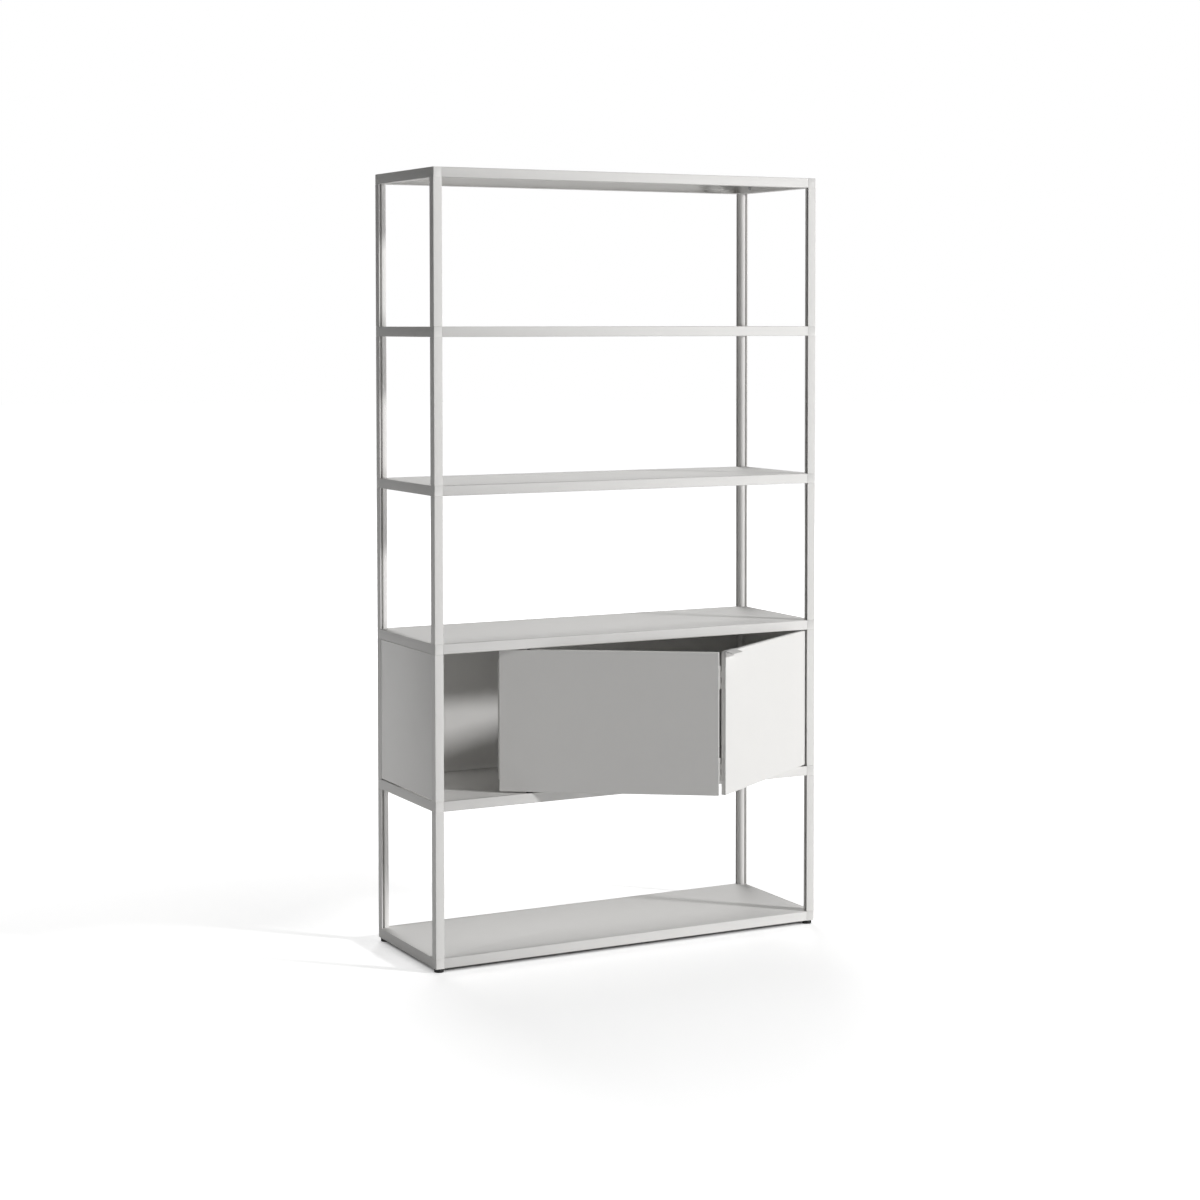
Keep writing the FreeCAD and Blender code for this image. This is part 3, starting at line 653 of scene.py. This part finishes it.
class SHELVING_OT_rails(bpy.types.Operator):
    """Round the edges of the side rails"""
    bl_idname = "shelving.rails"
    bl_label = "Side rails"

    def execute(self, context):
        for node in RAILS:
            round_edges(node, context.scene.shelving_edges.rail)
        return {"FINISHED"}


class SHELVING_OT_trays(bpy.types.Operator):
    """Round the sheet edges of the shelf trays"""
    bl_idname = "shelving.trays"
    bl_label = "Shelf trays"

    def execute(self, context):
        for node in TRAYS:
            round_edges(node, context.scene.shelving_edges.sheet)
        return {"FINISHED"}


class SHELVING_OT_panels(bpy.types.Operator):
    """Round the edges of the side and back panels"""
    bl_idname = "shelving.panels"
    bl_label = "Cabinet panels"

    def execute(self, context):
        for node in PANELS:
            round_edges(node, context.scene.shelving_edges.sheet)
        return {"FINISHED"}


class SHELVING_OT_door(bpy.types.Operator):
    """Round the edges of the door leaves and the pull tab"""
    bl_idname = "shelving.door"
    bl_label = "Folding door"

    def execute(self, context):
        edges = context.scene.shelving_edges
        for node in ("door_leaf_right", "door_leaf_left"):
            round_edges(node, edges.sheet, rim=edges.leaf_rim)
        round_edges("pull_tab", edges.sheet)
        return {"FINISHED"}


def screw_tree():
    """Geometry Nodes that set a flanged screw along X on every point, its head to the point's side."""
    tree, given = start_tree("flanged_screws", (
        "Head Radius", "Crown Radius", "Head Height", "Flange Radius", "Flange", "Shank Radius",
        "Reach"), "Sides")
    head = given["Head Radius"]
    height = given["Head Height"]
    flange = given["Flange"]
    rim = given["Flange Radius"]
    shank = given["Shank Radius"]
    straight = add(tree, "ShaderNodeMath", {0: height, 1: HEAD_STRAIGHT}, operation="MULTIPLY")
    crown = add(tree, "ShaderNodeMath", {0: height, 1: 1 - HEAD_STRAIGHT}, operation="MULTIPLY")
    crown_start = add(tree, "ShaderNodeMath", {0: flange, 1: straight})
    rim_top = add(tree, "ShaderNodeMath", {0: rim, 1: FLANGE_TAPER}, operation="MULTIPLY")
    tip = add(tree, "ShaderNodeMath", {0: given["Reach"], 1: -1.0}, operation="MULTIPLY")
    whole = add(tree, "GeometryNodeJoinGeometry")
    for sides, bottom, top, depth, start in (
            (FLANGE_SIDES, rim, rim_top, flange, 0.0),
            (given["Sides"], head, head, straight, flange),
            (given["Sides"], head, given["Crown Radius"], crown, crown_start),
            (SHANK_SIDES, shank, shank, given["Reach"], tip)):
        cone = add(tree, "GeometryNodeMeshCone", {
            "Vertices": sides, "Radius Bottom": bottom, "Radius Top": top, "Depth": depth})
        lift = add(tree, "ShaderNodeCombineXYZ", {"Z": start})
        placed = add(tree, "GeometryNodeTransform", {"Geometry": cone, "Translation": lift})
        feed(tree, whole, {0: placed})
    side = add(tree, "GeometryNodeInputNamedAttribute", {"Name": "side"}, data_type="FLOAT")
    tilt = add(tree, "ShaderNodeMath", {0: side, 1: math.pi / 2}, operation="MULTIPLY")
    facing = add(tree, "ShaderNodeCombineXYZ", {"Y": tilt})
    set_on_points(tree, given["Geometry"], whole, facing, given["Finish"])
    return tree


def screws(places, values, name):
    """Screws on (place, side) pairs, where side is 1 for a head that faces +X and -1 for -X."""
    mesh = bpy.data.meshes.new("places")
    mesh.from_pydata([place for place, _ in places], [], [])
    sides = mesh.attributes.new("side", "FLOAT", "POINT")
    sides.data.foreach_set("value", [side for _, side in places])
    return grow(link("places", mesh), screw_tree(), values, name)


class SHELVING_OT_tray_screws(bpy.types.Operator):
    """Set the flanged hexagon screws in the ends of the trays"""
    bl_idname = "shelving.tray_screws"
    bl_label = "Tray screws"

    def execute(self, context):
        hardware = context.scene.shelving_hardware
        _, screws_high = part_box("tray_screws")
        rail_low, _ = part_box("side_rail_right_1")
        seat = rail_low.x - hardware.screw_seat
        ys = (-hardware.screw_spacing / 2, hardware.screw_spacing / 2)
        places = []
        for node in TRAYS:
            low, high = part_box(node)
            height = (low.z + high.z) / 2
            places += [((side * seat, y, height), -side) for side in (-1, 1) for y in ys]
        values = {
            "Head Radius": hardware.screw_head / math.sqrt(3),
            "Crown Radius": hardware.screw_head / 2 * hardware.screw_crown,
            "Head Height": hardware.screw_height,
            "Flange Radius": hardware.screw_head / 2 * hardware.flange_width,
            "Flange": hardware.screw_flange,
            "Shank Radius": hardware.screw_shank,
            "Reach": screws_high.x - seat,
            "Sides": 6,
            "Finish": finish_of("bright_steel"),
        }
        dress(screws(places, values, "tray_screws_flanged"), ["tray_screws"])
        return {"FINISHED"}


def plate(low, high):
    """Sheet piece between two corners, as a bmesh."""
    work = bmesh.new()
    place = Matrix.Translation((low + high) / 2)
    bmesh.ops.create_cube(work, size=1, matrix=place @ Matrix.Diagonal((high - low).to_4d()))
    return work


def joined(works, name):
    """One mesh from several bmeshes."""
    whole = bmesh.new()
    for work in works:
        part = bpy.data.meshes.new("part")
        work.to_mesh(part)
        work.free()
        whole.from_mesh(part)
        bpy.data.meshes.remove(part)
    return mesh_of(whole, name)


def chamfered_rod(radius, middle, start, end, sides, edge, bore=0.0):
    """Turned rod or, with a bore, tube, with a small chamfer at each end."""
    outline = [(bore, start), (radius - edge, start), (radius, start + edge)]
    outline += [(radius, end - edge), (radius - edge, end), (bore, end)]
    return lathe(outline, middle, sides)


class SHELVING_OT_hinges(bpy.types.Operator):
    """Make the fold hinges: plates with round knuckles that alternate from leaf to leaf, and pins"""
    bl_idname = "shelving.hinges"
    bl_label = "Fold hinges"

    def execute(self, context):
        hardware = context.scene.shelving_hardware
        fold, carry = door_places()
        leaf_low, leaf_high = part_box("door_leaf_right")
        start = fold.y - hardware.fold_depth + hardware.hinge_start
        stop = fold.y - hardware.plate_stop
        # Between the plate's edge and the pin, tongues run into the knuckles and end in their walls
        tongue_end = fold.y - hardware.hinge_pin - hardware.hinge_edge
        pitch = (hardware.hinge_length + hardware.knuckle_gap) / hardware.knuckles
        bore = hardware.hinge_pin + hardware.hinge_play
        pins = []
        leaves = {"right": [], "left": []}
        for middle in (leaf_low.z + hardware.hinge_inset, leaf_high.z - hardware.hinge_inset):
            low = middle - hardware.hinge_length / 2
            high = low + hardware.hinge_length
            pins.append(chamfered_rod(
                hardware.hinge_pin, fold, low - hardware.pin_end, high + hardware.pin_end,
                PIN_SIDES, hardware.hinge_edge))
            for first, (pieces, side) in enumerate(zip(leaves.values(), (1, -1))):
                seat = fold.x + side * hardware.fold_gap / 2
                xs = sorted([seat, seat - side * hardware.hinge_plate])
                pieces.append(plate(Vector((xs[0], start, low)), Vector((xs[1], stop, high))))
                for place in range(first, hardware.knuckles, 2):
                    bottom = low + place * pitch
                    top = bottom + pitch - hardware.knuckle_gap
                    tongue_low = Vector((xs[0], stop, bottom))
                    pieces.append(plate(tongue_low, Vector((xs[1], tongue_end, top))))
                    pieces.append(chamfered_rod(
                        hardware.knuckle, fold, bottom, top, KNUCKLE_SIDES, hardware.hinge_edge, bore))
        for name, pieces in leaves.items():
            mesh = joined(pieces, "fold_hinge_" + name)
            mesh.transform(carry[name])
            dress(link("fold_hinge_%s_plates" % name, mesh), ["fold_hinge_" + name])
        mesh = joined(pins, "fold_hinge_pins")
        mesh.transform(carry["right"])
        dress(link("fold_hinge_pins_turned", mesh), ["fold_hinge_pins"])
        return {"FINISHED"}


class SHELVING_OT_small_parts(bpy.types.Operator):
    """Round the pins, bushes, guides and track, and give the hidden spigots and inserts a finish"""
    bl_idname = "shelving.small_parts"
    bl_label = "Small parts"

    def execute(self, context):
        for node in ("door_pivot_pins", "pivot_bushes", "door_guides", "door_track"):
            round_edges(node, context.scene.shelving_edges.small)
        for node in ("post_spigots", "foot_inserts"):
            coat_node(node)
        return {"FINISHED"}


class SHELVING_OT_feet(bpy.types.Operator):
    """Turn the ribbed levelling feet"""
    bl_idname = "shelving.feet"
    bl_label = "Levelling feet"

    def execute(self, context):
        hardware = context.scene.shelving_hardware
        pad_top = hardware.foot_pad
        stem = hardware.foot_stem
        edge = hardware.foot_edge
        sides = hardware.foot_ribs * SIDES_PER_RIB
        for corner in CORNERS:
            node = "foot_" + corner
            low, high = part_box(node)
            middle = (low + high) / 2
            radius = (high.x - low.x) / 2
            outline = [(0, 0), (radius - edge, 0)]
            for step in (30, 60, 90):
                bend = math.radians(step)
                outline.append((radius - edge * (1 - math.sin(bend)), edge * (1 - math.cos(bend))))
            outline += [(radius, pad_top - edge), (radius - edge / 2, pad_top), (stem, pad_top)]
            outline += [(stem, high.z - edge / 2), (stem - edge / 2, high.z), (0, high.z)]
            work = lathe(outline, middle, sides)
            for vert in work.verts:
                away = Vector((vert.co.x - middle.x, vert.co.y - middle.y))
                turns = math.atan2(away.y, away.x) % (2 * math.pi) / (2 * math.pi)
                in_groove = round(turns * sides) % SIDES_PER_RIB == 0
                if in_groove and away.length > radius - hardware.rib_band:
                    drawn = away * (1 - hardware.foot_rib / away.length)
                    vert.co.x = middle.x + drawn.x
                    vert.co.y = middle.y + drawn.y
            dress(link(node + "_turned", mesh_of(work, node)), [node])
        return {"FINISHED"}


def aim(thing, target):
    thing.rotation_euler = (target - thing.location).to_track_quat("-Z", "Y").to_euler()


def softbox(name, target, azimuth, elevation, distance, size, watts):
    """Square area lamp, azimuth from the front towards the right, aimed at the target."""
    lamp = bpy.data.lights.new(name, "AREA")
    lamp.shape = "SQUARE"
    lamp.size = size
    lamp.energy = watts
    made = link(name, lamp)
    flat = math.cos(elevation) * distance
    rise = math.sin(elevation) * distance
    made.location = target + Vector((math.sin(azimuth) * flat, -math.cos(azimuth) * flat, rise))
    aim(made, target)
    return made


def seen_directly(tree):
    """1 for rays that show the backdrop: from the camera, in a gloss or through glass."""
    ray = add(tree, "ShaderNodeLightPath").outputs
    seen = add(tree, "ShaderNodeMath", {
        0: ray["Is Camera Ray"], 1: ray["Is Glossy Ray"]}, operation="MAXIMUM")
    return add(tree, "ShaderNodeMath", {0: seen, 1: ray["Is Transmission Ray"]}, operation="MAXIMUM")


def studio_floor(studio):
    """White studio paper: matt, with a glow that is gone under the unit, low round it and rising to
    white far away.

    The glow shows to the camera and in reflections, and lights nothing. Because it is held back over
    the unit's footprint and rises outwards, it paints the floor darker under and near the unit as
    painted shade, on top of the real shadows that the lamps cast there.
    """
    material, tree = new_material("white_studio_paper")
    matt = add(tree, "ShaderNodeBsdfDiffuse", {"Color": PAPER})
    place = add(tree, "ShaderNodeTexCoord").outputs["Object"]
    # Footprint shrunk by the shade edge, used as a mask: the glow is gone inside it and low beside it, painting
    # the floor darker under and near the unit
    painted_shade_box = (CAD_BOX[1][0] - studio.floor_painted_shade_edge, CAD_BOX[1][1] - studio.floor_painted_shade_edge, 0)
    folded = add(tree, "ShaderNodeVectorMath", {0: place}, operation="ABSOLUTE")
    beyond = add(tree, "ShaderNodeVectorMath", {0: folded, 1: painted_shade_box}, operation="SUBTRACT")
    outside = add(tree, "ShaderNodeVectorMath", {0: beyond, 1: (0, 0, 0)}, operation="MAXIMUM")
    distance = add(tree, "ShaderNodeVectorMath", {0: outside}, operation="LENGTH").outputs["Value"]
    near = add(tree, "ShaderNodeMapRange", {
        "Value": distance, "From Max": studio.floor_painted_shade_edge, "To Max": studio.floor_glow})
    far = add(tree, "ShaderNodeMapRange", {
        "Value": distance, "From Min": studio.floor_painted_shade_edge, "From Max": studio.floor_far,
        "To Max": 1.0 - studio.floor_glow})
    rise = add(tree, "ShaderNodeMath", {0: near, 1: far})
    level = add(tree, "ShaderNodeMath", {0: seen_directly(tree), 1: rise}, operation="MULTIPLY")
    lit = add(tree, "ShaderNodeEmission", {"Color": WHITE, "Strength": level})
    paper = add(tree, "ShaderNodeAddShader", {0: matt, 1: lit})
    add(tree, "ShaderNodeOutputMaterial", {"Surface": paper})
    return material


class SHELVING_OT_stage(bpy.types.Operator):
    """Set the floor, the lights and the camera"""
    bl_idname = "shelving.stage"
    bl_label = "Studio"

    def execute(self, context):
        scene = context.scene
        studio = scene.shelving_studio
        work = bmesh.new()
        bmesh.ops.create_circle(work, cap_ends=True, segments=FLOOR_SIDES, radius=FLOOR_RADIUS)
        floor = link("studio_floor", mesh_of(work, "studio_floor"))
        floor.data.materials.append(studio_floor(studio))

        world = bpy.data.worlds.new("studio")
        scene.world = world
        world.use_nodes = True
        tree = world.node_tree
        tree.nodes.clear()
        level = add(tree, "ShaderNodeMapRange", {
            "Value": seen_directly(tree), "To Min": studio.world, "To Max": 1.0})
        glow = add(tree, "ShaderNodeBackground", {"Color": WHITE, "Strength": level})
        add(tree, "ShaderNodeOutputWorld", {"Surface": glow})

        middle = Vector((0, 0, CAD_BOX[1][2] / 2))
        for name, lamp in (
                ("key", "key_softbox"), ("low", "low_softbox"),
                ("back", "back_softbox"), ("card", "left_card")):
            made = softbox(lamp, middle, *[
                getattr(studio, "%s_%s" % (name, word))
                for word in ("azimuth", "elevation", "distance", "size", "power")])
            made.visible_camera = name != "card"

        camera = bpy.data.cameras.new("camera")
        camera.sensor_width = SENSOR_MM
        camera.lens = studio.lens
        camera.shift_x = studio.shift_x
        camera.shift_y = studio.shift_y
        camera.clip_end = VIEW_END
        view = link("camera", camera)
        view.location = studio.view_place
        level_view = Matrix.Rotation(studio.yaw, 4, "Z")
        tilted = level_view @ Matrix.Rotation(math.pi / 2 + studio.pitch, 4, "X")
        view.rotation_euler = (tilted @ Matrix.Rotation(studio.roll, 4, "Z")).to_euler()
        scene.camera = view
        scene.view_settings.view_transform = "Standard"
        return {"FINISHED"}


OPERATORS = [
    SHELVING_OT_finishes,
    SHELVING_OT_posts,
    SHELVING_OT_rails,
    SHELVING_OT_trays,
    SHELVING_OT_panels,
    SHELVING_OT_door,
    SHELVING_OT_tray_screws,
    SHELVING_OT_hinges,
    SHELVING_OT_small_parts,
    SHELVING_OT_feet,
    SHELVING_OT_stage,
]

GROUPS = {
    "shelving_edges": ShelvingEdges,
    "shelving_posts": ShelvingPosts,
    "shelving_hardware": ShelvingHardware,
    "shelving_finish": ShelvingFinish,
    "shelving_studio": ShelvingStudio,
}


class SHELVING_PT_panel(bpy.types.Panel):
    """Buttons and sizes for the shelving unit"""
    bl_idname = "SHELVING_PT_panel"
    bl_label = "Shelving unit"
    bl_space_type = "VIEW_3D"
    bl_region_type = "UI"
    bl_category = "Shelving"

    def draw(self, context):
        for operator in OPERATORS:
            self.layout.operator(operator.bl_idname)
        for name, group in GROUPS.items():
            box = self.layout.box()
            for field in group.__annotations__:
                box.prop(getattr(context.scene, name), field)


CLASSES = list(GROUPS.values()) + OPERATORS + [SHELVING_PT_panel]


def register():
    for kind in CLASSES:
        bpy.utils.register_class(kind)
    for name, group in GROUPS.items():
        setattr(bpy.types.Scene, name, bpy.props.PointerProperty(type=group))


def unregister():
    for name in GROUPS:
        delattr(bpy.types.Scene, name)
    for kind in reversed(CLASSES):
        bpy.utils.unregister_class(kind)


def main():
    register()
    for operator in OPERATORS:
        group, name = operator.bl_idname.split(".")
        getattr(getattr(bpy.ops, group), name)()


if __name__ == "__main__":
    main()
